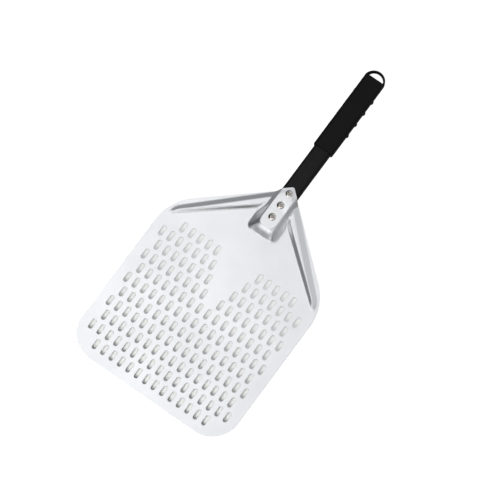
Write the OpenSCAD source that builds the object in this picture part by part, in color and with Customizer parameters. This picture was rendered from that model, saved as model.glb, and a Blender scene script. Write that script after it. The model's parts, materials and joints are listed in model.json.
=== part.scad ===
// Perforated pizza peel: a pressed aluminium blade, blind-riveted onto a flat-sided tube handle
// that carries a moulded grip. Millimetres.
// +Y runs from the blade's front edge to the hanging eye. +Z is the side that carries the pizza.
// The origin is on the blade's top face, on the centre line, midway between slot rows 6 and 7.

/* [Blade] */
// Full width of the blade
blade_w = 305; // [200:1:420]
// Front edge to the point over the handle
blade_l = 417; // [380:1:560]
// Sheet thickness
sheet_t = 1.5; // [1:0.1:3]
// Radius of the two front corners
front_r = 50; // [10:1:80]
// Radius of the two shoulder corners
shoulder_r = 85; // [20:1:110]
// Slope of the shoulder edges, from straight across
shoulder_angle = 41; // [30:0.5:50]
// Radius of the point at the rear
point_r = 4; // [1:0.5:15]

/* [Slots] */
// Width of one slot
slot_w = 7; // [4:0.1:12]
// Length of one slot over its round ends
slot_l = 18.5; // [10:0.5:22]
// Distance between neighbours in a row
slot_pitch = 16.5; // [12:0.1:18]
// Distance between rows
row_pitch = 23.8; // [20:0.1:25]
// Front edge to the middle of the first row
front_margin = 25; // [15:1:60]

/* [Socket] */
// Height of the flat top above the blade
socket_h = 13; // [8:0.5:20]
// Width of the flat top
socket_w = 30; // [24:0.5:45]
// Front edge of the blade to the front of the flat top
socket_start = 333.5; // [320:0.5:360]
// How far the front wall leans forward at its foot
front_flare = 11; // [4:0.5:20]
// How far a side wall leans out at its foot, near the front
side_flare = 13.5; // [4:0.5:20]
// How far a side wall leans out at its foot, behind the point
rear_flare = 3; // [2:0.5:12]

/* [Beads] */
// Height of a stiffening bead where it meets the socket
bead_h = 5; // [2:0.5:8]
// Height of a bead at its outer tip
bead_tip_h = 3; // [1:0.5:6]
// Centre line of the blade to the outer tip of a bead
bead_tip_x = 138; // [90:1:145]
// Front edge of the blade to the outer tip of a bead
bead_tip_start = 278; // [270:1:300]

/* [Handle] */
// Whole length of the peel
overall_l = 660; // [600:1:900]
// Width of the tube
tube_w = 31; // [24:0.5:45]
// Height of the tube
tube_h = 15; // [10:0.5:25]
// Wall of the tube
tube_wall = 1.5; // [1:0.1:3]
// Outside corner radius of the tube
tube_r = 5; // [2:0.5:7]
// Front edge of the blade to the tube's front end, hidden in the socket
tube_start = 342; // [338:1:350]

/* [Grip] */
// Length of the grip with its hanging eye
grip_l = 162.5; // [130:0.5:220]
// Thickness of the grip around the tube
grip_wall = 2.6; // [1.5:0.1:5]
// Width of the rim around the hanging eye
eye_rim = 3.3; // [2:0.1:8]
// Thickness of the loop that forms the hanging eye
eye_t = 8; // [4:0.5:14]
// How far the finger ridges stand out below
ridge_h = 2.8; // [1:0.1:5]
// How far the finger ridges stand out sideways
ridge_side = 1.9; // [0.5:0.1:4]
// Distance between finger ridges
ridge_pitch = 23.2; // [16:0.1:32]

/* [Rivets] */
// Diameter of a rivet head
rivet_head_d = 12.8; // [9:0.1:16]
// Diameter of a rivet shank
rivet_d = 6.4; // [4:0.1:8]
// Distance between rivets
rivet_pitch = 23.5; // [16:0.1:25]
// Front edge of the blade to the front rivet
rivet_start = 357; // [350:0.5:360]

/* [Hidden] */
$fn = 64;

row_count = 11;
edge_reach = 13;                // slots in the first and last row end this many half pitches out
even_reach = 15;
odd_reach = 16;
solid_row = 5;                  // from here back, each row leaves a wider gap in its middle
front_y = -front_margin - row_pitch * (row_count / 2);
point_y = front_y + blade_l;
end_y = front_y + overall_l;
blade_half = blade_w / 2;
bury = 1;                       // depth of the pressed forms' feet in the sheet
past = 10;                      // how far the socket runs on past the point, where it is cut off
thin = 0.1;
top_skin = socket_h - sheet_t;  // underside of the socket's flat top
socket_skin = 0.9;              // keeps the steep walls as thick as the sheet
socket_corner_r = 5;
foot_corner_r = 12;
bead_root_x = 20;
bead_root_y = front_y + 385;
bead_tip_y = front_y + bead_tip_start;
bead_root_r = 10.5;             // half widths of a bead at its foot and along its top
bead_root_top_r = 3;
bead_tip_r = 6.2;
bead_tip_top_r = 0.8;
clear = 0.1;                    // gap round the tube in the grip, and round each shank
tube_mid_z = top_skin - tube_h / 2;
grip_w = tube_w + 2 * grip_wall;
grip_h = tube_h + 2 * grip_wall;
grip_r = tube_r + 1;
grip_y = end_y - grip_l;
eye_y = end_y - grip_w / 2;     // centre of the grip's round end
eye_flat_y = eye_y + 2.7;       // straight side of the hanging eye
tube_end_y = eye_y - 4;
ridge_count = 4;
ridge_first_y = grip_y + 44.5;
ridge_base = 8;                 // length of a ridge along the grip, at its foot and at its crest
ridge_crest = 2.4;
ridge_crest_h = 7;
ridge_crest_r = 3;
dome_h = 2.7;                   // height of a rivet head
dome_rim = 0.5;
dimple_r = 2.6;
dimple_h = 0.9;
stem_r = 1.9;
stem_gap = 0.05;
stem_top = 1.6;
joint_t = sheet_t + tube_wall;  // what each rivet clamps
bulb_r = 4.6;                   // the blind end of a rivet, swollen inside the tube
bulb_h = 4;
stem_head_r = 3.1;
stem_head_h = 2;

// ---- blade ----

// Plan of the blade: straight front, square sides, two sloping shoulders and a point
module blade_outline() {
    out = [sin(shoulder_angle), cos(shoulder_angle)];
    front = [blade_half - front_r, front_y + front_r];
    tip_y = point_y - point_r;
    sharp_y = tip_y + point_r / cos(shoulder_angle);
    shoulder_x = blade_half - shoulder_r;
    shoulder_y = sharp_y - shoulder_x * tan(shoulder_angle) - shoulder_r / cos(shoulder_angle);
    half = [[front[0], front_y],
            [blade_half, front[1]],
            [blade_half, shoulder_y],
            [shoulder_x + shoulder_r * out[0], shoulder_y + shoulder_r * out[1]],
            [point_r * out[0], tip_y + point_r * out[1]]];
    other_half = [for (i = [len(half) - 1 : -1 : 0]) [-half[i][0], half[i][1]]];
    polygon(concat(half, other_half));
    translate([0, tip_y])
        circle(r = point_r);
    for (side = [-1, 1]) {
        translate([side * front[0], front[1]])
            circle(r = front_r);
        translate([side * shoulder_x, shoulder_y])
            circle(r = shoulder_r, $fn = 128);
    }
}

// One slot with round ends, along Y
module slot() {
    reach = (slot_l - slot_w) / 2;
    square([slot_w, 2 * reach], center = true);
    for (end = [-1, 1])
        translate([0, end * reach])
            circle(d = slot_w);
}

function row_reach(row) =
    row == 0 || row == row_count - 1 ? edge_reach : row % 2 == 0 ? even_reach : odd_reach;

// Staggered rows of slots, with a widening gap towards the socket
module slots() {
    for (row = [0 : row_count - 1]) {
        reach = row_reach(row);
        for (i = [-reach : 2 : reach])
            if (abs(i) >= row - solid_row)
                translate([i * slot_pitch / 2, front_y + front_margin + row * row_pitch])
                    slot();
    }
}

// The pressed socket as a solid: a flat-topped ridge with leaning walls that runs out to the rear
module socket_solid(skin = 0) {
    foot_y = front_y + socket_start - front_flare + skin;
    top_y = front_y + socket_start + skin;
    foot_half = socket_w / 2 + side_flare - skin;
    rear_half = socket_w / 2 + rear_flare - skin;
    top_half = socket_w / 2 - skin;
    hull()
        for (side = [-1, 1]) {
            translate([side * (foot_half - foot_corner_r), foot_y + foot_corner_r, -bury])
                cylinder(r = foot_corner_r, h = bury, $fn = 32);
            translate([side * (rear_half - thin), point_y + past, -bury])
                cylinder(r = thin, h = bury, $fn = 8);
            translate([side * (top_half - socket_corner_r), top_y + socket_corner_r, socket_h - thin])
                cylinder(r = socket_corner_r, h = thin, $fn = 32);
            translate([side * (top_half - thin), point_y + past, socket_h - thin])
                cylinder(r = thin, h = thin, $fn = 8);
        }
}

// One stiffening bead as a solid: it runs down the shoulder from the socket and narrows to its tip
module bead_solid(side) {
    hull() {
        translate([side * bead_root_x, bead_root_y, -bury]) {
            cylinder(r = bead_root_r, h = bury, $fn = 32);
            translate([0, 0, bury])
                cylinder(r1 = bead_root_r, r2 = bead_root_top_r, h = bead_h, $fn = 32);
        }
        translate([side * bead_tip_x, bead_tip_y, -bury]) {
            cylinder(r = bead_tip_r, h = bury, $fn = 32);
            translate([0, 0, bury])
                cylinder(r1 = bead_tip_r, r2 = bead_tip_top_r, h = bead_tip_h, $fn = 32);
        }
    }
}

// Clearance holes for the rivet shanks, through the socket top and the tube's upper wall
module rivet_holes() {
    for (i = [0 : 2])
        translate([0, rivet_y(i), tube_mid_z])
            cylinder(d = rivet_d + 2 * clear, h = tube_h);
}

module blade() {
    color("silver")
        difference() {
            union() {
                translate([0, 0, -sheet_t])
                    linear_extrude(sheet_t)
                        blade_outline();
                intersection() {
                    union() {
                        socket_solid();
                        bead_solid(-1);
                        bead_solid(1);
                    }
                    translate([0, 0, -bury])
                        linear_extrude(bury + socket_h)
                            blade_outline();
                }
            }
            translate([0, 0, -sheet_t]) {
                socket_solid(socket_skin);
                bead_solid(-1);
                bead_solid(1);
            }
            translate([0, 0, -2 * sheet_t])
                linear_extrude(3 * sheet_t)
                    slots();
            rivet_holes();
        }
}

// ---- handle ----

module rounded(w, h, r) {
    square([w, h - 2 * r], center = true);
    square([w - 2 * r, h], center = true);
    for (x = [-1, 1], y = [-1, 1])
        translate([x * (w / 2 - r), y * (h / 2 - r)])
            circle(r = r);
}

// A bar with round corners, lying along Y from one end to the other
module bar(w, h, r, from_y, to_y, z = tube_mid_z) {
    translate([0, to_y, z])
        rotate([90, 0, 0])
            linear_extrude(to_y - from_y)
                rounded(w, h, r);
}

module handle_tube() {
    start_y = front_y + tube_start;
    color("dimgray")
        difference() {
            bar(tube_w, tube_h, tube_r, start_y, tube_end_y);
            bar(tube_w - 2 * tube_wall, tube_h - 2 * tube_wall, tube_r - tube_wall,
                start_y - 1, tube_end_y + 1);
            rivet_holes();
        }
}

// ---- grip ----

// Plan of the grip: straight sides and a round end
module grip_outline() {
    translate([-grip_w / 2, grip_y])
        square([grip_w, eye_y - grip_y]);
    translate([0, eye_y])
        circle(d = grip_w);
}

// One finger ridge across the underside, fading out up the two sides
module finger_ridge(y) {
    crest_z = tube_mid_z - grip_h / 2 - ridge_h + ridge_crest_h / 2;
    hull() {
        bar(grip_w, grip_h, grip_r, y - ridge_base / 2, y + ridge_base / 2, $fn = 32);
        bar(grip_w + 2 * ridge_side, ridge_crest_h, ridge_crest_r,
            y - ridge_crest / 2, y + ridge_crest / 2, crest_z, $fn = 32);
    }
}

// The D-shaped opening of the hanging eye
module eye_opening() {
    intersection() {
        translate([0, eye_y])
            circle(r = grip_w / 2 - eye_rim);
        translate([-grip_w / 2, eye_flat_y])
            square([grip_w, grip_w]);
    }
}

module grip() {
    color("black")
        difference() {
            union() {
                intersection() {
                    bar(grip_w, grip_h, grip_r, grip_y, eye_flat_y);
                    translate([0, 0, tube_mid_z - grip_h])
                        linear_extrude(2 * grip_h)
                            grip_outline();
                }
                translate([0, eye_y, tube_mid_z - eye_t / 2])
                    cylinder(d = grip_w, h = eye_t);
                for (i = [0 : ridge_count - 1])
                    finger_ridge(ridge_first_y + i * ridge_pitch);
            }
            bar(tube_w + 2 * clear, tube_h + 2 * clear, tube_r + clear,
                grip_y - 1, tube_end_y + clear);
            translate([0, 0, tube_mid_z - grip_h])
                linear_extrude(2 * grip_h)
                    eye_opening();
        }
}

// ---- rivets ----

function rivet_y(i) = front_y + rivet_start + i * rivet_pitch;

// Body of one blind rivet: domed head with a dimple, hollow shank and swollen blind end
module rivet(i) {
    cap_h = dome_h - dome_rim;
    head_r = rivet_head_d / 2;
    dome_r = (head_r * head_r + cap_h * cap_h) / (2 * cap_h);
    color("lightsteelblue")
        translate([0, rivet_y(i), socket_h])
            difference() {
                union() {
                    intersection() {
                        translate([0, 0, dome_h - dome_r])
                            sphere(r = dome_r, $fn = 96);
                        cylinder(r = head_r, h = dome_h);
                    }
                    translate([0, 0, -joint_t - bulb_h / 2])
                        cylinder(d = rivet_d, h = joint_t + bulb_h / 2 + dome_rim);
                    translate([0, 0, -joint_t - bulb_h])
                        cylinder(r1 = rivet_d / 2, r2 = bulb_r, h = bulb_h);
                }
                translate([0, 0, -joint_t - bulb_h - 1])
                    cylinder(r = stem_r + stem_gap, h = joint_t + bulb_h + dome_h + 2);
                translate([0, 0, dome_h - dimple_h])
                    cylinder(r1 = stem_r + stem_gap, r2 = dimple_r + stem_gap, h = dimple_h);
            }
}

// The broken-off pulling stem left inside one rivet, with its head under the blind end
module rivet_stem(i) {
    color("gray")
        translate([0, rivet_y(i), socket_h - joint_t - bulb_h]) {
            cylinder(r = stem_r, h = joint_t + bulb_h + stem_top);
            translate([0, 0, -stem_head_h])
                cylinder(r1 = stem_r, r2 = stem_head_r, h = stem_head_h);
        }
}

blade();
handle_tube();
grip();
rivet(0);  // rivet_front
rivet(1);  // rivet_middle
rivet(2);  // rivet_rear
rivet_stem(0);  // rivet_stem_front
rivet_stem(1);  // rivet_stem_middle
rivet_stem(2);  // rivet_stem_rear
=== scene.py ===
"""Looks of a perforated pizza peel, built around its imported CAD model.

Shapes are worked out in millimetres in the CAD model's own frame: +Y from the blade's front edge to the
hanging eye, +Z out of the side that carries the pizza. They turn into metres when a piece is made.
"""
import json
import math

import bmesh
import bpy
import numpy as np
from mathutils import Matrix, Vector
from mathutils.geometry import delaunay_2d_cdt


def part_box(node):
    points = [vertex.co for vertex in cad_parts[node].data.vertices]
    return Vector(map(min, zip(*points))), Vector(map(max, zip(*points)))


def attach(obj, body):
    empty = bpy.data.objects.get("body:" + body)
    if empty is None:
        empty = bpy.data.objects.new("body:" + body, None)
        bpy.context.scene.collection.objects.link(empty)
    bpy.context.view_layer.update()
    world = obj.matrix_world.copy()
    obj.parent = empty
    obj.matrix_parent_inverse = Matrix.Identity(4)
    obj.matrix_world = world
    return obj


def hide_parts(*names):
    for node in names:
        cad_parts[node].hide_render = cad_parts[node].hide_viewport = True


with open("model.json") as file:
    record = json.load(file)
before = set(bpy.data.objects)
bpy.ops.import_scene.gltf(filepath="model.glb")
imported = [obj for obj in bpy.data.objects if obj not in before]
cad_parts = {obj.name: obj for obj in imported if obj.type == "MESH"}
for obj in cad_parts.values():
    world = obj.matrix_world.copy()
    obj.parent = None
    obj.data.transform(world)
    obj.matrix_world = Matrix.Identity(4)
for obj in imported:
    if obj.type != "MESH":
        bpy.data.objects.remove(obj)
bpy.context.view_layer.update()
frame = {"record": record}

MM = 0.001
FINISHES = {entry["slot"]: entry for entry in frame["record"]["materials"]}


def box_mm(node):
    """Lowest and highest corner of a CAD node, in millimetres."""
    return [np.array(corner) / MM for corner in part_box(node)]


# ---- sizes taken from the CAD model ----

BLADE_LO, BLADE_HI = box_mm("blade")
TUBE_LO, TUBE_HI = box_mm("handle_tube")
GRIP_LO, GRIP_HI = box_mm("grip")
RIVETS = ("front", "middle", "rear")

FRONT_Y = BLADE_LO[1]
POINT_Y = BLADE_HI[1]
BLADE_HALF = BLADE_HI[0]
SHEET_T = -BLADE_LO[2]
SOCKET_H = BLADE_HI[2]
TUBE_MID_Z = (TUBE_LO[2] + TUBE_HI[2]) / 2
TUBE_W, _, TUBE_H = TUBE_HI - TUBE_LO

# ---- blade outline ----

FRONT_R = 50
SHOULDER_R = 85
SHOULDER_ANGLE = math.radians(41)
POINT_R = 4
EDGE_R = 0.35                  # rounding of every cut edge of the sheet
ARC_STEP = 1.2                 # spacing of points along curved edges
LINE_STEP = 2.0

# ---- slots ----

SLOT_W = 7
SLOT_L = 18.5
HALF_PITCH = 8.25              # between slot columns
ROW_PITCH = 23.8
FIRST_ROW_Y = FRONT_Y + 25
ROW_REACHES = (13, 16, 15, 16, 15, 16, 15, 16, 15, 16, 13)
SOLID_ROW = 5                  # from here back, each row leaves a wider gap in its middle
SLOT_CAP_POINTS = 14

# ---- pressed socket and beads ----

SOCKET_HALF = 15
SOCKET_TOP_Y = FRONT_Y + 335
SOCKET_TOP_R = 9
SOCKET_FOOT_Y = FRONT_Y + 322.5
SOCKET_FOOT_R = 10
SOCKET_FOOT_HALF = 27          # the foot is widest at the front and narrows between these two places
SOCKET_REAR_HALF = 21.5
SOCKET_WAIST_Y = (FRONT_Y + 347, FRONT_Y + 384)
SOCKET_FOOT_SOFT = 2.2         # half width of the rounded bend at the foot of the walls
SOCKET_TOP_SOFT = 1.6          # the same at the top, which gets rounder towards the front
SOCKET_FRONT_SOFT = 6.3
SOCKET_FRONT_REACH = 15
BEAD_X = 120                   # where the two flanks of a bead are located
BEAD_OUTER_Y = FRONT_Y + 298.5
BEAD_OUTER_SLOPE = 0.956
BEAD_OUTER_WIDTH = 7.5
BEAD_INNER_Y = FRONT_Y + 288.5
BEAD_INNER_SLOPE = 0.818
BEAD_INNER_WIDTH = 5.5
BEAD_INNER_FADE = 4            # how much wider the inner flank gets at the socket
BEAD_FADE_LENGTH = 4
BEAD_TIP_X = 142
BEAD_TIP_FADE = 9
BEAD_TIP_H = 3.0
BEAD_ROOT_X = 27
BEAD_ROOT_H = 5.0
BEAD_TIP_SOFT = 3              # how far the bends of its tip and of its flanks are rounded
BEAD_OUTER_SOFT = 1.8
BEAD_INNER_SOFT = 1.5
ROOT_BLEND = 0.7               # how softly the beads run into the socket

# ---- spacing of the blade's mesh points ----

FORM_Y = FRONT_Y + 262         # the whole pressed form lies behind this line
FORM_STEP = 1.4
SOCKET_ZONE_HALF = 36          # the finest points lie round the socket
SOCKET_ZONE_Y = FRONT_Y + 316
SOCKET_ZONE_STEP = 0.9
FLAT_ROWS = 6                  # rows of wide points for each row of slots
FORM_MARGIN = 2                # how far close points reach beyond the form, and wide points stay away
FLAT_MARGIN = 4
ZONE_GAP = 0.5                 # between the finest points and the next ones
EDGE_GAP = 0.6                 # least distance of close points to the blade's edge and to a rivet hole
HOLE_GAP = 0.5
FLAT_EDGE_GAP = 1.5            # the same for wide points, and to a slot
SLOT_GAP = 1
RAISED_H = 0.004               # anything higher counts as pressed form
SLOPE_REACH = 0.02             # slopes are measured over this distance to both sides
MERGE_DISTANCE = 1e-5
INSIDE_ONLY = 1                # keeps the triangles inside the blade's outline

# ---- handle ----

TUBE_WALL = 1.5
TUBE_R = 5
TUBE_LIP = 0.3
BORE_CLEAR = 0.1
GRIP_WALL = 2.6
GRIP_R = 6
GRIP_RIM = 1.8                 # rounding of the grip's front rim
GRIP_END_ROUND = 1.2
GRIP_MOUTH = 0.3               # bevel where the tube enters
GRIP_STEP = 5                  # between rings of points along the plain stretches
GRIP_STEP_LEAST = 2
GRIP_W = TUBE_W + 2 * GRIP_WALL
GRIP_H = TUBE_H + 2 * GRIP_WALL
EYE_RIM = 3.3
EYE_RIM_R = 1.3
EYE_T = 8
EYE_DEEPER = 5                 # how much thicker the rim is where it leaves the grip
EYE_DEEPER_FADE = 6            # the higher, the sooner it thins out
EYE_RIM_INSIDE = 12            # degrees that its ends run on inside the grip
EYE_RIM_STEP = 3
EYE_Y = GRIP_HI[1] - GRIP_W / 2
EYE_FLAT_Y = EYE_Y + 2.7
RIDGE_PITCH = 23.2
RIDGE_FIRST_Y = GRIP_LO[1] + 44.5
RIDGE_COUNT = 4
RIDGE_FOOT = 8                 # length of a ridge along the grip, at its foot and at its crest
RIDGE_CREST = 2.4
RIDGE_SOFT = 1.1
RIDGE_FADE_END = 3             # from the grip's top to a ridge's start, and from its underside to full size
RIDGE_REACH = 5.4              # rings of points are close together this far from a ridge's middle
RIDGE_STEP = 0.6
RIDGE_SIDE = GRIP_HI[0] - GRIP_W / 2
RIDGE_DOWN = TUBE_MID_Z - GRIP_H / 2 - GRIP_LO[2]

# ---- rivets ----

RIVET_HOLE_R = 3.3
HEAD_R = 6.4
DOME_H = 2.7
DOME_RIM = 0.5
DOME_POINTS = 14
DOME_INNER_GAP = 0.5           # from the dimple's lip and from the head's rim to the plain dome
DOME_OUTER_GAP = 0.35
SHANK_R = 3.2
STEM_R = 1.9
STEM_GAP = 0.05
DIMPLE_R = 2.6
DIMPLE_H = 0.9
STEM_TOP = 1.6
BULB_R = 4.6
BULB_H = 4
BULB_TAPER = 0.3
STEM_HEAD_R = 3.1
STEM_HEAD_H = 2
STEM_TIP_R = 0.4               # small flat at both ends of a stem
JOINT_T = SHEET_T + TUBE_WALL
LATHE_STEPS = 72


# ---- mesh helpers ----

def make_piece(name, points, faces, material, normals=None):
    """A smooth-shaded mesh object from points in millimetres."""
    mesh = bpy.data.meshes.new(name)
    mesh.from_pydata((np.asarray(points) * MM).tolist(), [], faces)
    mesh.polygons.foreach_set("use_smooth", [True] * len(mesh.polygons))
    if normals is not None:
        mesh.normals_split_custom_set_from_vertices(np.asarray(normals).tolist())
    mesh.materials.append(material)
    piece = bpy.data.objects.new(name, mesh)
    bpy.context.scene.collection.objects.link(piece)
    return piece


def stand_for(piece, node):
    """Hangs a finished piece on the root body in place of its CAD node, which it hides."""
    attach(piece, "root")
    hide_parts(node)


def ring_faces(first, second):
    """Quads between two closed rings of point numbers."""
    count = len(first)
    return [(first[i], first[(i + 1) % count], second[(i + 1) % count], second[i]) for i in range(count)]


def unit(vectors):
    """Vectors with the same directions and a length of one."""
    return vectors / np.maximum(np.linalg.norm(vectors, axis=1, keepdims=True), 1e-9)


def apply_modifiers(piece):
    """Turns a piece's modifiers into its mesh."""
    graph = bpy.context.evaluated_depsgraph_get()
    result = bpy.data.meshes.new_from_object(piece.evaluated_get(graph))
    piece.modifiers.clear()
    piece.data = result


def combine(piece, other, operation):
    """Cuts another closed mesh out of a piece, or joins it on, and deletes the other one."""
    modifier = piece.modifiers.new("combine", "BOOLEAN")
    modifier.operation = operation
    modifier.solver = "EXACT"
    modifier.object = other
    apply_modifiers(piece)
    bpy.data.objects.remove(other)


def crisp_normals(piece, angle=35):
    """Sharp edges where faces meet at a large angle, and flat faces that shade flat."""
    piece.data.set_sharp_from_angle(angle=math.radians(angle))
    modifier = piece.modifiers.new("normals", "WEIGHTED_NORMAL")
    modifier.keep_sharp = True
    modifier.weight = 80
    apply_modifiers(piece)


# ---- blade: plan ----

def arc(centre, radius, start, end, step=ARC_STEP):
    """Points along an arc, ends included. Angles in radians."""
    count = max(3, math.ceil(abs(end - start) * radius / step))
    angles = np.linspace(start, end, count + 1)
    return np.stack([centre[0] + radius * np.cos(angles), centre[1] + radius * np.sin(angles)], 1)


def with_lines(runs, step=LINE_STEP):
    """Joins runs of points into one closed loop, with evenly spaced points along the straight gaps."""
    loop = []
    for run, following in zip(runs, runs[1:] + runs[:1]):
        start, end = run[-1], following[0]
        count = math.ceil(np.linalg.norm(end - start) / step)
        loop.extend(run)
        loop.extend(start + (end - start) * k / count for k in range(1, count))
    return np.array(loop)


def blade_outline(inset):
    """The blade's edge in plan, anticlockwise, moved in by the inset."""
    tip_y = POINT_Y - POINT_R
    sharp_y = tip_y + POINT_R / math.cos(SHOULDER_ANGLE)
    shoulder_x = BLADE_HALF - SHOULDER_R
    shoulder_y = sharp_y - shoulder_x * math.tan(SHOULDER_ANGLE) - SHOULDER_R / math.cos(SHOULDER_ANGLE)
    front_x = BLADE_HALF - FRONT_R
    turn = math.pi / 2 - SHOULDER_ANGLE
    return with_lines([
        arc((-front_x, FRONT_Y + FRONT_R), FRONT_R - inset, math.pi, 1.5 * math.pi),
        arc((front_x, FRONT_Y + FRONT_R), FRONT_R - inset, 1.5 * math.pi, 2 * math.pi),
        arc((shoulder_x, shoulder_y), SHOULDER_R - inset, 0, turn),
        arc((0, tip_y), POINT_R - inset, turn, math.pi - turn),
        arc((-shoulder_x, shoulder_y), SHOULDER_R - inset, math.pi - turn, math.pi),
    ])


def slot_centres():
    """Middles of the staggered rows of slots."""
    return [(i * HALF_PITCH, FIRST_ROW_Y + row * ROW_PITCH)
            for row, reach in enumerate(ROW_REACHES)
            for i in range(-reach, reach + 1, 2)
            if abs(i) >= row - SOLID_ROW]


def slot_loop(centre, grow):
    """One slot's edge, clockwise, moved out by the growth."""
    radius = SLOT_W / 2 + grow
    reach = (SLOT_L - SLOT_W) / 2
    step = math.pi * radius / SLOT_CAP_POINTS
    x, y = centre
    return with_lines([
        arc((x, y + reach), radius, math.pi, 0, step),
        arc((x, y - reach), radius, 0, -math.pi, step),
    ])


def circle_loop(centre, radius, count=48):
    """A round hole's edge, clockwise."""
    angles = -2 * math.pi * np.arange(count) / count
    return np.stack([centre[0] + radius * np.cos(angles), centre[1] + radius * np.sin(angles)], 1)


def slot_distance(points, centres):
    """Distance of each point to the edge of the nearest slot, negative inside a slot."""
    reach = (SLOT_L - SLOT_W) / 2
    nearest = np.full(len(points), 1e9)
    for x, y in centres:
        along = np.maximum(np.abs(points[:, 1] - y) - reach, 0)
        nearest = np.minimum(nearest, np.hypot(points[:, 0] - x, along))
    return nearest - SLOT_W / 2


def edge_depth(points, outline):
    """How far inside a convex anticlockwise outline each point lies."""
    ahead = np.roll(outline, -1, axis=0) - outline
    inward = unit(np.stack([-ahead[:, 1], ahead[:, 0]], 1))
    depth = np.full(len(points), 1e9)
    for corner, direction in zip(outline, inward):
        depth = np.minimum(depth, (points - corner) @ direction)
    return depth


# ---- blade: pressed form ----

def soft_hinge(distance, reach):
    """max(distance, 0), with the corner at zero rounded over the reach to both sides."""
    near = np.clip(distance, -reach, reach)
    return np.where(distance > reach, distance, (near + reach) ** 2 / (4 * reach))


def soft_step(distance, width, soft):
    """Rises from 0 to 1 over a width centred on zero, with rounded ends."""
    start = distance + width / 2
    return (soft_hinge(start, soft) - soft_hinge(start - width, soft)) / width


def smooth_rise(value, start, end):
    """Eases from 0 at the start to 1 at the end."""
    t = np.clip((value - start) / (end - start), 0, 1)
    return t * t * (3 - 2 * t)


def soft_max(a, b, blend):
    """The greater of two heights, with a hollow in place of the crease between them."""
    return (a + b + np.sqrt((a - b) ** 2 + blend ** 2 * a * b)) / 2


def rounded_corner(side, front, radius):
    """Distance outside a side line and a front line that meet in a rounded corner."""
    outside = np.hypot(np.maximum(side + radius, 0), np.maximum(front + radius, 0))
    return outside + np.minimum(np.maximum(side + radius, front + radius), 0) - radius


def socket_height(u, y):
    """The socket: a flat top with leaning walls in front and at the sides. u is the distance sideways."""
    foot_half = SOCKET_FOOT_HALF + (SOCKET_REAR_HALF - SOCKET_FOOT_HALF) * smooth_rise(y, *SOCKET_WAIST_Y)
    to_foot = rounded_corner(u - foot_half, SOCKET_FOOT_Y - y, SOCKET_FOOT_R)
    to_top = rounded_corner(u - SOCKET_HALF, SOCKET_TOP_Y - y, SOCKET_TOP_R)
    run = np.maximum(to_top - to_foot, 1)
    ahead = 1 - smooth_rise(y, SOCKET_TOP_Y, SOCKET_TOP_Y + SOCKET_FRONT_REACH)
    top_soft = SOCKET_TOP_SOFT + (SOCKET_FRONT_SOFT - SOCKET_TOP_SOFT) * ahead
    return SOCKET_H * (soft_hinge(-to_foot, SOCKET_FOOT_SOFT) - soft_hinge(-to_top, top_soft)) / run


def bead_height(u, y):
    """A stiffening bead: a ridge along the shoulder, lower towards its tip, where it fades out."""
    beyond = u - BEAD_X
    outer = (BEAD_OUTER_Y - BEAD_OUTER_SLOPE * beyond - y) / math.hypot(1, BEAD_OUTER_SLOPE)
    inner = (y - BEAD_INNER_Y + BEAD_INNER_SLOPE * beyond) / math.hypot(1, BEAD_INNER_SLOPE)
    near_root = np.clip((BEAD_ROOT_X + BEAD_FADE_LENGTH - u) / BEAD_FADE_LENGTH, 0, 1) ** 2
    inner_width = BEAD_INNER_WIDTH + BEAD_INNER_FADE * near_root
    share = np.clip((BEAD_TIP_X - u) / (BEAD_TIP_X - BEAD_ROOT_X), 0, 1)
    crest = BEAD_TIP_H + (BEAD_ROOT_H - BEAD_TIP_H) * share
    tip = soft_step(BEAD_TIP_X - BEAD_TIP_FADE / 2 - u, BEAD_TIP_FADE, BEAD_TIP_SOFT)
    outer_flank = soft_step(outer, BEAD_OUTER_WIDTH, BEAD_OUTER_SOFT)
    inner_flank = soft_step(inner, inner_width, BEAD_INNER_SOFT)
    return crest * tip * outer_flank * inner_flank


def sheet_height(x, y):
    """Height of the blade's top face."""
    u = np.abs(x)
    return soft_max(socket_height(u, y), bead_height(u, y), ROOT_BLEND)


def sheet_normal(x, y):
    """Upward unit normals of the blade's top face."""
    d = SLOPE_REACH
    slope_x = (sheet_height(x + d, y) - sheet_height(x - d, y)) / (2 * d)
    slope_y = (sheet_height(x, y + d) - sheet_height(x, y - d)) / (2 * d)
    return unit(np.stack([-slope_x, -slope_y, np.ones_like(slope_x)], 1))


# ---- blade: mesh ----

def lattice(lo, hi, step):
    """A regular triangle pattern that fills a rectangle, the same on both sides of the middle."""
    count = math.ceil(max(abs(lo[0]), abs(hi[0])) / step)
    points = []
    for k, y in enumerate(np.arange(lo[1], hi[1], step * math.sqrt(3) / 2)):
        xs = (np.arange(-count, count + 1) + 0.5 * (k % 2)) * step
        xs = xs[(xs >= lo[0]) & (xs <= hi[0])]
        points.append(np.stack([xs, np.full(len(xs), y)], 1))
    return np.concatenate(points)


def is_raised(points, reach):
    """True for points on the pressed form, or within reach of it."""
    found = np.zeros(len(points), bool)
    for dx, dy in ((0, 0), (reach, 0), (-reach, 0), (0, reach), (0, -reach)):
        found |= sheet_height(points[:, 0] + dx, points[:, 1] + dy) > RAISED_H
    return found


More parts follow.
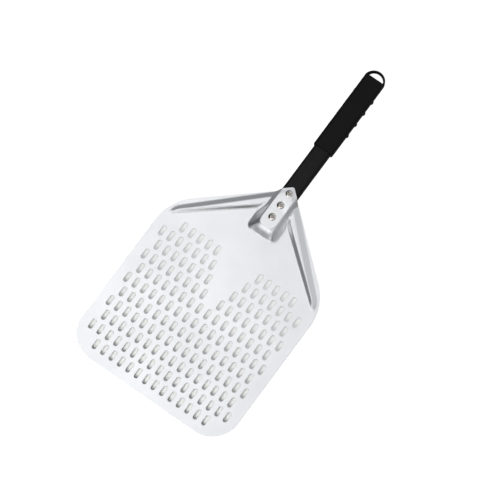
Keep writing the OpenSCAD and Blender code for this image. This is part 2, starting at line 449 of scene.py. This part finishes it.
def blade_points(outline, centres, holes):
    """Points inside the blade: closest at the socket, close on the beads, far apart where it is flat."""
    fine = lattice((-SOCKET_ZONE_HALF, SOCKET_ZONE_Y), (SOCKET_ZONE_HALF, POINT_Y), SOCKET_ZONE_STEP)
    middle = lattice((-BLADE_HALF, FORM_Y), (BLADE_HALF, POINT_Y), FORM_STEP)
    beside = np.abs(middle[:, 0]) > SOCKET_ZONE_HALF + ZONE_GAP
    in_front = middle[:, 1] < SOCKET_ZONE_Y - ZONE_GAP
    close = np.concatenate([fine, middle[beside | in_front]])
    close = close[is_raised(close, FORM_MARGIN)]
    close = close[edge_depth(close, outline) > EDGE_GAP]
    for centre, radius in holes:
        close = close[np.hypot(close[:, 0] - centre[0], close[:, 1] - centre[1]) > radius + HOLE_GAP]
    columns = math.ceil(2 * BLADE_HALF / HALF_PITCH)
    xs = np.arange(-columns, columns + 1) * HALF_PITCH / 2
    ys = np.arange(FIRST_ROW_Y - ROW_PITCH, POINT_Y, ROW_PITCH / FLAT_ROWS)
    wide = np.stack(np.meshgrid(xs, ys), -1).reshape(-1, 2)
    wide = wide[(slot_distance(wide, centres) > SLOT_GAP) & (edge_depth(wide, outline) > FLAT_EDGE_GAP)]
    return np.concatenate([close, wide[~is_raised(wide, FLAT_MARGIN)]])


def build_blade(material):
    """The pressed sheet: a triangulated plan, lifted to its form, with a thickness and rounded edges."""
    outline = blade_outline(EDGE_R)
    centres = slot_centres()
    holes = [(rivet_centre(name), RIVET_HOLE_R + EDGE_R) for name in RIVETS]
    loops = [outline]
    loops += [slot_loop(centre, EDGE_R) for centre in centres]
    loops += [circle_loop(centre, radius) for centre, radius in holes]
    starts = np.cumsum([0] + [len(loop) for loop in loops])
    rings = [np.arange(start, start + len(loop)) for start, loop in zip(starts, loops)]
    plan = np.concatenate(loops + [blade_points(outline, centres, holes)])
    edges = [(int(ring[i - 1]), int(ring[i])) for ring in rings for i in range(len(ring))]
    made = delaunay_2d_cdt([Vector(p) for p in plan.tolist()], edges, [], INSIDE_ONLY, MERGE_DISTANCE)
    triangles = np.array(made[2])
    middles = plan[triangles].mean(axis=1)
    solid = slot_distance(middles, centres) > EDGE_R
    for centre, radius in holes:
        solid &= np.hypot(middles[:, 0] - centre[0], middles[:, 1] - centre[1]) > radius
    triangles = triangles[solid]

    normal = sheet_normal(plan[:, 0], plan[:, 1])
    top = np.column_stack([plan, sheet_height(plan[:, 0], plan[:, 1])])
    bottom = top - SHEET_T * normal
    points, normals = [top, bottom], [normal, -normal]
    faces = triangles.tolist() + (triangles[:, ::-1] + len(plan)).tolist()
    for ring in rings:
        edge_points, edge_normals = rounded_edge(top[ring], bottom[ring], normal[ring])
        start = sum(len(part) for part in points)
        bands = [ring]
        for band_points, band_normals in zip(edge_points, edge_normals):
            bands.append(np.arange(start, start + len(ring)))
            points.append(band_points)
            normals.append(band_normals)
            start += len(ring)
        bands.append(ring + len(plan))
        for upper, lower in zip(bands, bands[1:]):
            faces.extend(ring_faces(lower.tolist(), upper.tolist()))
    return make_piece("blade_sheet", np.concatenate(points), faces, material, np.concatenate(normals))


def rounded_edge(top, bottom, up):
    """Bands of points that lead round a cut edge from the top face to the bottom, and their normals."""
    along = unit(np.roll(top, -1, axis=0) - np.roll(top, 1, axis=0))
    out = unit(np.cross(along, up))
    points, normals = [], []
    for face, side, degrees in ((top, 1, (30, 60, 90)), (bottom, -1, (90, 60, 30))):
        for a in map(math.radians, degrees):
            points.append(face + EDGE_R * (math.sin(a) * out - side * (1 - math.cos(a)) * up))
            normals.append(math.sin(a) * out + side * math.cos(a) * up)
    return points, normals


# ---- handle ----

def rounded_section(width, height, radius, corner_points=10, flat_points=4):
    """A rounded rectangle across the handle, as (x, z) points and their outward directions."""
    points, normals = [], []
    half_w, half_h = width / 2 - radius, height / 2 - radius
    corners = [(half_w, half_h), (-half_w, half_h), (-half_w, -half_h), (half_w, -half_h)]
    for quarter, centre in enumerate(corners):
        for k in range(corner_points + 1):
            angle = math.pi / 2 * (quarter + k / corner_points)
            normals.append(np.array([math.cos(angle), math.sin(angle)]))
            points.append(centre + radius * normals[-1])
        direction = normals[-1]
        begin = points[-1]
        end = corners[(quarter + 1) % 4] + radius * direction
        for k in range(1, flat_points):
            points.append(begin + (end - begin) * k / flat_points)
            normals.append(direction)
    return np.array(points), np.array(normals)


def lip(radius):
    """(setback, inset) pairs round a quarter circle, from the side of a tube to its end."""
    return [(radius * (1 - math.sin(a)), radius * (1 - math.cos(a)))
            for a in map(math.radians, (0, 22.5, 45, 67.5, 90))]


def join_rings(name, rings, material, close):
    """A closed mesh from rings of points: joined in a loop, or capped at both ends."""
    count = len(rings[0])
    numbers = [list(range(k * count, (k + 1) * count)) for k in range(len(rings))]
    faces = []
    for first, second in zip(numbers, numbers[1:]):
        faces.extend(ring_faces(first, second))
    if close:
        faces.extend(ring_faces(numbers[-1], numbers[0]))
    else:
        faces.append(tuple(reversed(numbers[0])))
        faces.append(tuple(numbers[-1]))
    piece = make_piece(name, np.concatenate(rings), faces, material)
    mesh = bmesh.new()
    mesh.from_mesh(piece.data)
    bmesh.ops.recalc_face_normals(mesh, faces=mesh.faces)
    mesh.to_mesh(piece.data)
    mesh.free()
    return piece


def section_at(section, y):
    """A section's points placed across the handle at y."""
    return np.stack([section[:, 0], np.full(len(section), y), TUBE_MID_Z + section[:, 1]], 1)


def build_tube(material):
    """The flat-sided tube, open at both ends, with a hole in its upper wall for each rivet."""
    section, outward = rounded_section(TUBE_W, TUBE_H, TUBE_R)
    start, end = TUBE_LO[1], TUBE_HI[1]
    stations = [(start + setback, inset) for setback, inset in reversed(lip(TUBE_LIP))]
    stations += [(end - setback, inset) for setback, inset in lip(TUBE_LIP)]
    stations += [(y, TUBE_WALL - inset) for y, inset in reversed(stations)]
    rings = [section_at(section - outward * inset, y) for y, inset in stations]
    piece = join_rings("tube_body", rings, material, close=True)
    for name in RIVETS:
        x, y = rivet_centre(name)
        hole = circle_loop((x, y), RIVET_HOLE_R)
        levels = (TUBE_MID_Z, TUBE_HI[2] + TUBE_WALL)
        rings = [np.column_stack([hole, np.full(len(hole), z)]) for z in levels]
        combine(piece, join_rings("hole", rings, material, close=False), "DIFFERENCE")
    crisp_normals(piece)
    return piece


def ridge_profile(y):
    """How far up a finger ridge's profile the place y on the grip lies, from 0 to 1."""
    nearest = min(abs(y - RIDGE_FIRST_Y - k * RIDGE_PITCH) for k in range(RIDGE_COUNT))
    flank = (RIDGE_FOOT - RIDGE_CREST) / 2
    middle = (RIDGE_FOOT + RIDGE_CREST) / 4
    return float(soft_step(np.array(middle - nearest), flank, RIDGE_SOFT))


def ridge_reach(section, outward):
    """How far a ridge stands out at each point of the grip's section: most below, less up the sides."""
    high = GRIP_H / 2 - RIDGE_FADE_END
    fade = smooth_rise(section[:, 1], high, -high)
    sideways = RIDGE_SIDE * np.abs(outward[:, 0])
    downwards = RIDGE_DOWN * np.maximum(-outward[:, 1], 0)
    return np.hypot(sideways * fade, downwards)


def grip_stations():
    """Places along the grip: close together over the ridges, further apart between them."""
    places = {GRIP_LO[1] + GRIP_RIM, EYE_FLAT_Y - GRIP_END_ROUND}
    steps = round(RIDGE_REACH / RIDGE_STEP)
    for ridge in range(RIDGE_COUNT):
        middle = RIDGE_FIRST_Y + ridge * RIDGE_PITCH
        places.update(middle + k * RIDGE_STEP for k in range(-steps, steps + 1))
    for y in np.arange(GRIP_LO[1] + GRIP_RIM, EYE_FLAT_Y - GRIP_END_ROUND, GRIP_STEP):
        if min(abs(y - place) for place in places) > GRIP_STEP_LEAST:
            places.add(y)
    return sorted(places)


def build_grip(material):
    """The moulded grip: a hollow handle with finger ridges, closed by the loop of the hanging eye."""
    section, outward = rounded_section(GRIP_W, GRIP_H, GRIP_R, corner_points=12, flat_points=10)
    reach = ridge_reach(section, outward)[:, None] * outward
    start, end = GRIP_LO[1], EYE_FLAT_Y
    rings = [section_at(section - outward * inset, start + setback)
             for setback, inset in reversed(lip(GRIP_RIM))][:-1]
    rings += [section_at(section + reach * ridge_profile(y), y) for y in grip_stations()]
    rings += [section_at(section - outward * inset, end - setback)
              for setback, inset in lip(GRIP_END_ROUND)][1:]
    bore = section - outward * (GRIP_WALL - BORE_CLEAR)
    bore_end = TUBE_HI[1] + BORE_CLEAR
    mouth = [section_at(bore, start + GRIP_MOUTH), section_at(bore + outward * GRIP_MOUTH, start)]
    rings = [section_at(bore, bore_end)] + mouth + rings
    piece = join_rings("grip_moulding", rings, material, close=False)
    combine(piece, build_loop(material), "UNION")
    crisp_normals(piece)
    return piece


def build_loop(material):
    """The rim round the hanging eye: a bar bent round the eye, thicker where it leaves the grip."""
    middle_r = GRIP_W / 2 - EYE_RIM / 2
    rings = []
    for degrees in range(-EYE_RIM_INSIDE, 180 + EYE_RIM_INSIDE + 1, EYE_RIM_STEP):
        a = math.radians(degrees)
        thickness = EYE_T + EYE_DEEPER * abs(math.cos(a)) ** EYE_DEEPER_FADE
        section, _ = rounded_section(EYE_RIM, thickness, EYE_RIM_R, corner_points=6, flat_points=2)
        radial = np.array([math.cos(a), math.sin(a), 0])
        centre = np.array([0, EYE_Y, TUBE_MID_Z]) + middle_r * radial
        rings.append(centre + section[:, :1] * radial + section[:, 1:] * np.array([0, 0, 1]))
    return join_rings("loop", rings, material, close=False)


# ---- rivets ----

def rivet_centre(name):
    """Where a rivet's axis meets the plan."""
    lo, hi = box_mm("rivet_stem_" + name)
    return (lo + hi)[:2] / 2


def fillet(corners, steps=4):
    """A profile with rounded corners. Each corner is (radius from the axis, height, rounding)."""
    points = []
    for i, (r, z, rounding) in enumerate(corners):
        here = np.array([r, z])
        if rounding == 0:
            points.append(here)
            continue
        before = np.array(corners[i - 1][:2]) - here
        after = np.array(corners[(i + 1) % len(corners)][:2]) - here
        start = here + before / np.linalg.norm(before) * rounding
        end = here + after / np.linalg.norm(after) * rounding
        for t in np.linspace(0, 1, steps + 1):
            points.append((1 - t) ** 2 * start + 2 * t * (1 - t) * here + t * t * end)
    return np.array(points)


def lathe(name, profile, centre, material, close):
    """A turned piece: a profile spun round an upright axis, with heights above the socket's top."""
    rings = []
    angles = 2 * math.pi * np.arange(LATHE_STEPS) / LATHE_STEPS
    for r, z in profile:
        ring = np.stack([centre[0] + r * np.cos(angles), centre[1] + r * np.sin(angles)], 1)
        rings.append(np.column_stack([ring, np.full(LATHE_STEPS, SOCKET_H + z)]))
    piece = join_rings(name, rings, material, close)
    crisp_normals(piece, angle=50)
    return piece


def build_rivet(name, material):
    """A set blind rivet: domed head with a dimple, hollow shank and a swollen blind end."""
    cap = DOME_H - DOME_RIM
    dome_r = (HEAD_R ** 2 + cap ** 2) / (2 * cap)
    hole_r = STEM_R + STEM_GAP
    lip_r = DIMPLE_R + STEM_GAP
    dome = [(r, DOME_H - dome_r + math.sqrt(dome_r ** 2 - r ** 2), 0)
            for r in np.linspace(lip_r + DOME_INNER_GAP, HEAD_R - DOME_OUTER_GAP, DOME_POINTS)]
    lip_z = DOME_H - dome_r + math.sqrt(dome_r ** 2 - lip_r ** 2)
    corners = [
        (hole_r, DOME_H - DIMPLE_H, 0.08),
        (lip_r, lip_z, 0.2),
        *dome,
        (HEAD_R, DOME_RIM, 0.25),
        (HEAD_R, 0, 0.1),
        (SHANK_R, 0, 0.05),
        (SHANK_R, -JOINT_T, 0.05),
        (BULB_R, -JOINT_T - 0.1, 0.8),
        (BULB_R - BULB_TAPER, -JOINT_T - BULB_H * 0.45, 1),
        (SHANK_R, -JOINT_T - BULB_H, 0.3),
        (hole_r, -JOINT_T - BULB_H, 0.1),
    ]
    return lathe("rivet_body_" + name, fillet(corners), rivet_centre(name), material, close=True)


def build_stem(name, material):
    """The pulling stem left in a rivet, broken off at the top, with its head under the blind end."""
    low = -JOINT_T - BULB_H
    corners = [
        (STEM_TIP_R, STEM_TOP, 0),
        (1.0, STEM_TOP - 0.06, 0),
        (STEM_R - 0.4, STEM_TOP - 0.02, 0),
        (STEM_R, STEM_TOP - 0.1, 0.15),
        (STEM_R, low, 0.05),
        (STEM_HEAD_R, low - 0.1, 0.3),
        (STEM_HEAD_R, low - STEM_HEAD_H * 0.5, 0.5),
        (STEM_HEAD_R * 0.6, low - STEM_HEAD_H, 0.6),
        (STEM_TIP_R, low - STEM_HEAD_H, 0),
    ]
    return lathe("rivet_pin_" + name, fillet(corners), rivet_centre(name), material, close=False)


# ---- shader nodes ----

def feed(tree, socket, value):
    """Sets a node's input to a number, or links it to another node's output."""
    if isinstance(value, (int, float)):
        socket.default_value = value
    else:
        tree.links.new(value, socket)


def arithmetic(tree, operation, first, second=0):
    """The result of a Math node. Each value is a number or another node's output."""
    node = tree.nodes.new("ShaderNodeMath")
    node.operation = operation
    feed(tree, node.inputs[0], first)
    feed(tree, node.inputs[1], second)
    return node.outputs["Value"]


def map_range(tree, value, from_span, to_span, interpolation="LINEAR"):
    """Carries a value from one span over to another. The result stays within the second span."""
    node = tree.nodes.new("ShaderNodeMapRange")
    node.interpolation_type = interpolation
    for name, end in zip(("From Min", "From Max", "To Min", "To Max"), (*from_span, *to_span)):
        feed(tree, node.inputs[name], end)
    tree.links.new(value, node.inputs["Value"])
    return node.outputs["Result"]


def blend_colour(tree, share, first, second):
    """A colour between two others. Each is a red, green and blue share, or another node's output."""
    node = tree.nodes.new("ShaderNodeMix")
    node.data_type = "RGBA"
    for name, colour in (("A", first), ("B", second)):
        if isinstance(colour, tuple):
            node.inputs[name].default_value = (*colour, 1)
        else:
            tree.links.new(colour, node.inputs[name])
    tree.links.new(share, node.inputs["Factor"])
    return node.outputs["Result"]


# ---- materials ----

class Finish:
    """A Principled material for one of the record's slots, with its detail made from noise.

    The record gives a surface's colour as seen in good light. The shade turns it into the base colour
    below the shine.
    """

    def __init__(self, slot, metallic=0, specular=0.5, shade=1):
        self.material = bpy.data.materials.new(slot)
        self.material.use_nodes = True
        self.tree = self.material.node_tree
        self.shader = self.tree.nodes["Principled BSDF"]
        self.shader.inputs["Metallic"].default_value = metallic
        self.shader.inputs["Specular IOR Level"].default_value = specular
        self.colour = tuple(shade * part for part in FINISHES[slot]["base_color"])
        self.place = self.tree.nodes.new("ShaderNodeTexCoord").outputs["Object"]
        self.bump_from = None

    def noise(self, scale, detail=4, stretch=(1, 1, 1), rough=0.5):
        """Noise from 0 to 1. The scale is in repeats per metre, and stretch divides it along each axis."""
        mapping = self.tree.nodes.new("ShaderNodeMapping")
        mapping.inputs["Scale"].default_value = [scale / s for s in stretch]
        texture = self.tree.nodes.new("ShaderNodeTexNoise")
        texture.inputs["Scale"].default_value = 1
        texture.inputs["Detail"].default_value = detail
        texture.inputs["Roughness"].default_value = rough
        self.tree.links.new(self.place, mapping.inputs["Vector"])
        self.tree.links.new(mapping.outputs["Vector"], texture.inputs["Vector"])
        return texture.outputs["Fac"]

    def remap(self, value, low, high, from_low=0.3, from_high=0.7):
        """Turns the usual span of a noise into the span from low to high."""
        return map_range(self.tree, value, (from_low, from_high), (low, high))

    def wear_and_highlight_edges(self, low, high):
        """0 on open faces, rising to 1 on outward edges. It marks both wear and a painted highlight there.
        """
        geometry = self.tree.nodes.new("ShaderNodeNewGeometry")
        return self.remap(geometry.outputs["Pointiness"], 0, 1, low, high)

    def tint(self, value, other, amount):
        """Mixes the base colour towards another one, by the amount where the value is 1."""
        share = arithmetic(self.tree, "MULTIPLY", value, amount)
        self.colour = blend_colour(self.tree, share, self.colour, other)
        self.tree.links.new(self.colour, self.shader.inputs["Base Color"])

    def roughness(self, *values):
        """Makes the roughness the sum of the values."""
        total = values[0]
        for value in values[1:]:
            total = arithmetic(self.tree, "ADD", total, value)
        self.tree.links.new(total, self.shader.inputs["Roughness"])

    def bump(self, value, height_mm):
        """Adds a relief of this height on top of the reliefs added before."""
        node = self.tree.nodes.new("ShaderNodeBump")
        node.inputs["Distance"].default_value = height_mm * MM
        self.tree.links.new(value, node.inputs["Height"])
        if self.bump_from is not None:
            self.tree.links.new(self.bump_from, node.inputs["Normal"])
        self.bump_from = node.outputs["Normal"]
        self.tree.links.new(self.bump_from, self.shader.inputs["Normal"])


def aluminium():
    """Satin aluminium sheet: faint rolling grain along the blade, soft unevenness and fine speckle."""
    finish = Finish("blade_aluminium", metallic=1)
    grain = finish.noise(900, detail=5, stretch=(1, 14, 1), rough=0.6)
    cloud = finish.noise(9, detail=3)
    speckle = finish.noise(2600, detail=2)
    finish.tint(finish.remap(cloud, 0, 1), (0.86, 0.87, 0.90), 0.6)
    finish.tint(finish.remap(grain, 0, 1), (0.95, 0.955, 0.96), 0.35)
    finish.roughness(finish.remap(grain, 0.32, 0.40), finish.remap(cloud, -0.02, 0.03))
    finish.bump(grain, 0.004)
    finish.bump(speckle, 0.003)
    return finish.material


def black_coating():
    """Satin black coating on the tube: fine orange peel, a few dull patches, and outward edges painted
    lighter, partly as wear and partly as a painted highlight.
    """
    finish = Finish("tube_coating", specular=0.22, shade=0.22)
    peel = finish.noise(1400, detail=3)
    patch = finish.noise(30, detail=4)
    finish.tint(finish.remap(patch, 0, 1), (0.006, 0.006, 0.0063), 0.7)
    # painted highlight: outward edges made lighter, partly wear and partly the light their rounding catches
    finish.tint(finish.wear_and_highlight_edges(0.56, 0.72), (0.016, 0.016, 0.017), 0.5)
    finish.roughness(finish.remap(patch, 0.34, 0.43), finish.remap(peel, -0.03, 0.03))
    finish.bump(peel, 0.012)
    return finish.material


def black_plastic():
    """Matt black moulded plastic: fine sparked texture, slightly polished where it stands out, and painted
    lighter there, partly as wear and partly as a painted highlight.
    """
    finish = Finish("grip_plastic", specular=0.2, shade=0.25)
    spark = finish.noise(2300, detail=6, rough=0.7)
    patch = finish.noise(22, detail=3)
    finish.tint(finish.remap(patch, 0, 1), (0.004, 0.004, 0.0045), 0.8)
    # painted highlight: outward edges made lighter, partly wear and partly the light their rounding catches
    wear_and_highlight = finish.wear_and_highlight_edges(0.53, 0.62)
    finish.tint(wear_and_highlight, (0.009, 0.009, 0.010), 0.4)
    polish = finish.remap(wear_and_highlight, 0, -0.08, 0, 1)
    finish.roughness(finish.remap(patch, 0.48, 0.57), finish.remap(spark, -0.04, 0.04), polish)
    finish.bump(spark, 0.022)
    return finish.material


def bright_steel():
    """Bright steel rivet heads, slightly warm, with faint scuffs."""
    finish = Finish("rivet_steel", metallic=1)
    scuff = finish.noise(1500, detail=5, rough=0.65)
    patch = finish.noise(320, detail=3)
    finish.tint(finish.remap(patch, 0, 1), (0.62, 0.57, 0.52), 0.6)
    finish.roughness(finish.remap(patch, 0.11, 0.21), finish.remap(scuff, -0.03, 0.05))
    finish.bump(scuff, 0.01)
    return finish.material


def dull_steel():
    """The torn end of a rivet's stem: grey and rough."""
    finish = Finish("stem_steel", metallic=1)
    torn = finish.noise(2600, detail=6, rough=0.75)
    finish.tint(finish.remap(torn, 0, 1), (0.36, 0.33, 0.30), 0.8)
    finish.roughness(finish.remap(torn, 0.34, 0.5))
    finish.bump(torn, 0.06)
    return finish.material


# ---- pieces ----

blade = build_blade(aluminium())
stand_for(blade, "blade")
tube = build_tube(black_coating())
stand_for(tube, "handle_tube")
grip = build_grip(black_plastic())
stand_for(grip, "grip")
rivet_finish = bright_steel()
stem_finish = dull_steel()
for place in RIVETS:
    stand_for(build_rivet(place, rivet_finish), "rivet_" + place)
    stand_for(build_stem(place, stem_finish), "rivet_stem_" + place)


# ---- stage ----

TABLE_HALF = 3000
FRONT_GAP = 4.8                # under the blade's front edge, so that the slots show a soft shadow
RIDGE_GAP = 0.05               # under the finger ridges
OPEN_GLOW = 0.95               # added to the table top's brightness where the camera sees it in the open
REAR_GLOW = 0.6                # the same under the rear slots, fading to nothing under the front ones
FRONT_COLOUR = (0.5, 0.5, 0.49)
REAR_COLOUR = (0.18, 0.18, 0.177)
SHADE_HALF = 138               # the rounded patch under the slots: half its width, its front and its rear
SHADE_Y = (FRONT_Y + 13, FRONT_Y + 275)
SHADE_R = 40
SHADE_SOFT = 12                # width of its soft border

SKY_COLOUR = (0.97, 0.98, 1.0)
# direction, cosine of the angle where the patch fades out and where it is full, and brightness
SKY_PATCHES = (
    ((-0.17, 0.24, 0.955), 0.80, 0.97, 0.25),
    ((0.95, 0.23, 0.20), 0.60, 0.95, 0.30),
    ((0.37, 0.79, 0.49), 0.60, 0.95, 0.55),
    ((-0.42, -0.89, 0.17), 0.60, 0.95, 0.22),
    ((-0.63, 0.72, 0.31), 0.60, 0.95, 0.25),
)
LIGHT_DISTANCE = 2.2           # metres, like everything about lights and camera

CAMERA_AIM = Vector((-0.0215, 0.1426, 0.0002))
CAMERA_DISTANCE = 6.2493
CAMERA_AZIMUTH = 35.58
CAMERA_ELEVATION = 73.5
CAMERA_LENS = 292.3            # millimetres, on a sensor of this width
CAMERA_SENSOR = 36


def glow(tree, x, y, rearward):
    """Brightness added for the camera only: full in the open, less under the slotted part of the blade."""
    middle = sum(SHADE_Y) / 2
    side = arithmetic(tree, "SUBTRACT", arithmetic(tree, "ABSOLUTE", x), (SHADE_HALF - SHADE_R) * MM)
    along = arithmetic(tree, "ABSOLUTE", arithmetic(tree, "SUBTRACT", y, middle * MM))
    end = arithmetic(tree, "SUBTRACT", along, (SHADE_Y[1] - middle - SHADE_R) * MM)
    side_squared = arithmetic(tree, "POWER", arithmetic(tree, "MAXIMUM", side), 2)
    end_squared = arithmetic(tree, "POWER", arithmetic(tree, "MAXIMUM", end), 2)
    outside = arithmetic(tree, "SQRT", arithmetic(tree, "ADD", side_squared, end_squared))
    border = (SHADE_R * MM, (SHADE_R + SHADE_SOFT) * MM)
    under = arithmetic(tree, "MULTIPLY", rearward, REAR_GLOW)
    strength = map_range(tree, outside, border, (under, OPEN_GLOW))
    seen = tree.nodes.new("ShaderNodeLightPath").outputs["Is Camera Ray"]
    return arithmetic(tree, "MULTIPLY", strength, seen)


def table_finish():
    """Matt and pale, darker towards the rear slots, brightened for the camera, and clear from below."""
    material = bpy.data.materials.new("table_top")
    material.use_nodes = True
    tree = material.node_tree
    shader = tree.nodes["Principled BSDF"]
    shader.inputs["Roughness"].default_value = 0.9
    shader.inputs["Specular IOR Level"].default_value = 0.2
    shader.inputs["Emission Color"].default_value = (1, 1, 1, 1)
    place = tree.nodes.new("ShaderNodeSeparateXYZ")
    tree.links.new(tree.nodes.new("ShaderNodeTexCoord").outputs["Object"], place.inputs["Vector"])
    x = place.outputs["X"]
    y = place.outputs["Y"]
    rearward = map_range(tree, y, (SHADE_Y[0] * MM, SHADE_Y[1] * MM), (0, 1))
    colour = blend_colour(tree, rearward, FRONT_COLOUR, REAR_COLOUR)
    tree.links.new(colour, shader.inputs["Base Color"])
    tree.links.new(glow(tree, x, y, rearward), shader.inputs["Emission Strength"])
    clear = tree.nodes.new("ShaderNodeBsdfTransparent")
    geometry = tree.nodes.new("ShaderNodeNewGeometry")
    either = tree.nodes.new("ShaderNodeMixShader")
    tree.links.new(geometry.outputs["Backfacing"], either.inputs["Fac"])
    tree.links.new(shader.outputs["BSDF"], either.inputs[1])
    tree.links.new(clear.outputs["BSDF"], either.inputs[2])
    tree.links.new(either.outputs["Shader"], tree.nodes["Material Output"].inputs["Surface"])
    return material


def floor_plane():
    """A table top just under the finger ridges, with a wider gap under the blade's front edge."""
    front_z = BLADE_LO[2] - FRONT_GAP
    slope = (GRIP_LO[2] - RIDGE_GAP - front_z) / (RIDGE_FIRST_Y - FRONT_Y)
    corners = [(x, y, front_z + slope * (y - FRONT_Y)) for x, y in
               ((-TABLE_HALF, -TABLE_HALF), (TABLE_HALF, -TABLE_HALF),
                (TABLE_HALF, TABLE_HALF), (-TABLE_HALF, TABLE_HALF))]
    table = make_piece("table_top", corners, [(0, 1, 2, 3)], table_finish())
    return table


def toward(azimuth, elevation):
    """Unit vector at an azimuth (0 is in front, 90 to the right) and an elevation, in degrees."""
    a = math.radians(azimuth)
    e = math.radians(elevation)
    return Vector((math.sin(a) * math.cos(e), -math.cos(a) * math.cos(e), math.sin(e)))


def softbox(name, position, size, radiance, target=(0, 0, 0), only=None):
    """A rectangular soft light at a position that faces a target.

    It lights every object, or only the one given, on which the others still cast their shadows.
    """
    light = bpy.data.lights.new(name, "AREA")
    light.shape = "RECTANGLE"
    light.size, light.size_y = size
    light.energy = radiance * math.pi * size[0] * size[1]
    lamp = bpy.data.objects.new(name, light)
    lamp.location = position
    lamp.rotation_mode = "QUATERNION"
    lamp.rotation_quaternion = (Vector(position) - Vector(target)).to_track_quat("Z", "Y")
    bpy.context.scene.collection.objects.link(lamp)
    if only is not None:
        lit = bpy.data.collections.new(name + "_lights")
        lit.objects.link(only)
        lamp.light_linking.receiver_collection = lit


def studio_lights(table):
    """One softbox overhead, three in front and to the right, and one for the table alone."""
    softbox("overhead", (-0.38, 0.17, 1.487), size=(1.1, 1.1), radiance=0.97,
            target=(-0.06, -0.096, 0))
    softbox("front_key", toward(-8, 48) * LIGHT_DISTANCE, size=(1.6, 1.5), radiance=1.15)
    softbox("table_key", toward(0, 42) * LIGHT_DISTANCE, size=(1.0, 1.0), radiance=26, only=table)
    softbox("right_fill", toward(75, 55) * LIGHT_DISTANCE, size=(1.2, 1.0), radiance=1.0)
    softbox("front_right_fill", toward(25, 55) * LIGHT_DISTANCE, size=(1.4, 1.2), radiance=0.6)


def sky_patch(tree, place, direction, fade_out, full, brightness):
    """Brightness that rises from nothing to full as a ray turns towards a direction."""
    along = tree.nodes.new("ShaderNodeVectorMath")
    along.operation = "DOT_PRODUCT"
    along.inputs[1].default_value = direction
    tree.links.new(place, along.inputs[0])
    return map_range(tree, along.outputs["Value"], (fade_out, full), (0, brightness), "SMOOTHSTEP")


def studio_world():
    """Dark surroundings with soft bright patches."""
    world = bpy.data.worlds.new("studio")
    bpy.context.scene.world = world
    world.use_nodes = True
    tree = world.node_tree
    place = tree.nodes.new("ShaderNodeTexCoord").outputs["Generated"]
    total = 0
    for patch in SKY_PATCHES:
        total = arithmetic(tree, "ADD", total, sky_patch(tree, place, *patch))
    background = tree.nodes["Background"]
    background.inputs["Color"].default_value = (*SKY_COLOUR, 1)
    tree.links.new(total, background.inputs["Strength"])


def camera():
    """A long lens that looks down on the blade from its front right."""
    back = toward(CAMERA_AZIMUTH, CAMERA_ELEVATION)
    data = bpy.data.cameras.new("camera")
    data.lens = CAMERA_LENS
    data.sensor_width = CAMERA_SENSOR
    data.clip_start = 0.1
    data.clip_end = 50
    body = bpy.data.objects.new("camera", data)
    body.location = CAMERA_AIM + back * CAMERA_DISTANCE
    body.rotation_mode = "QUATERNION"
    body.rotation_quaternion = (-back).to_track_quat("-Z", "Y")
    bpy.context.scene.collection.objects.link(body)
    bpy.context.scene.camera = body


studio_lights(floor_plane())
studio_world()
camera()
bpy.context.scene.view_settings.view_transform = "Standard"
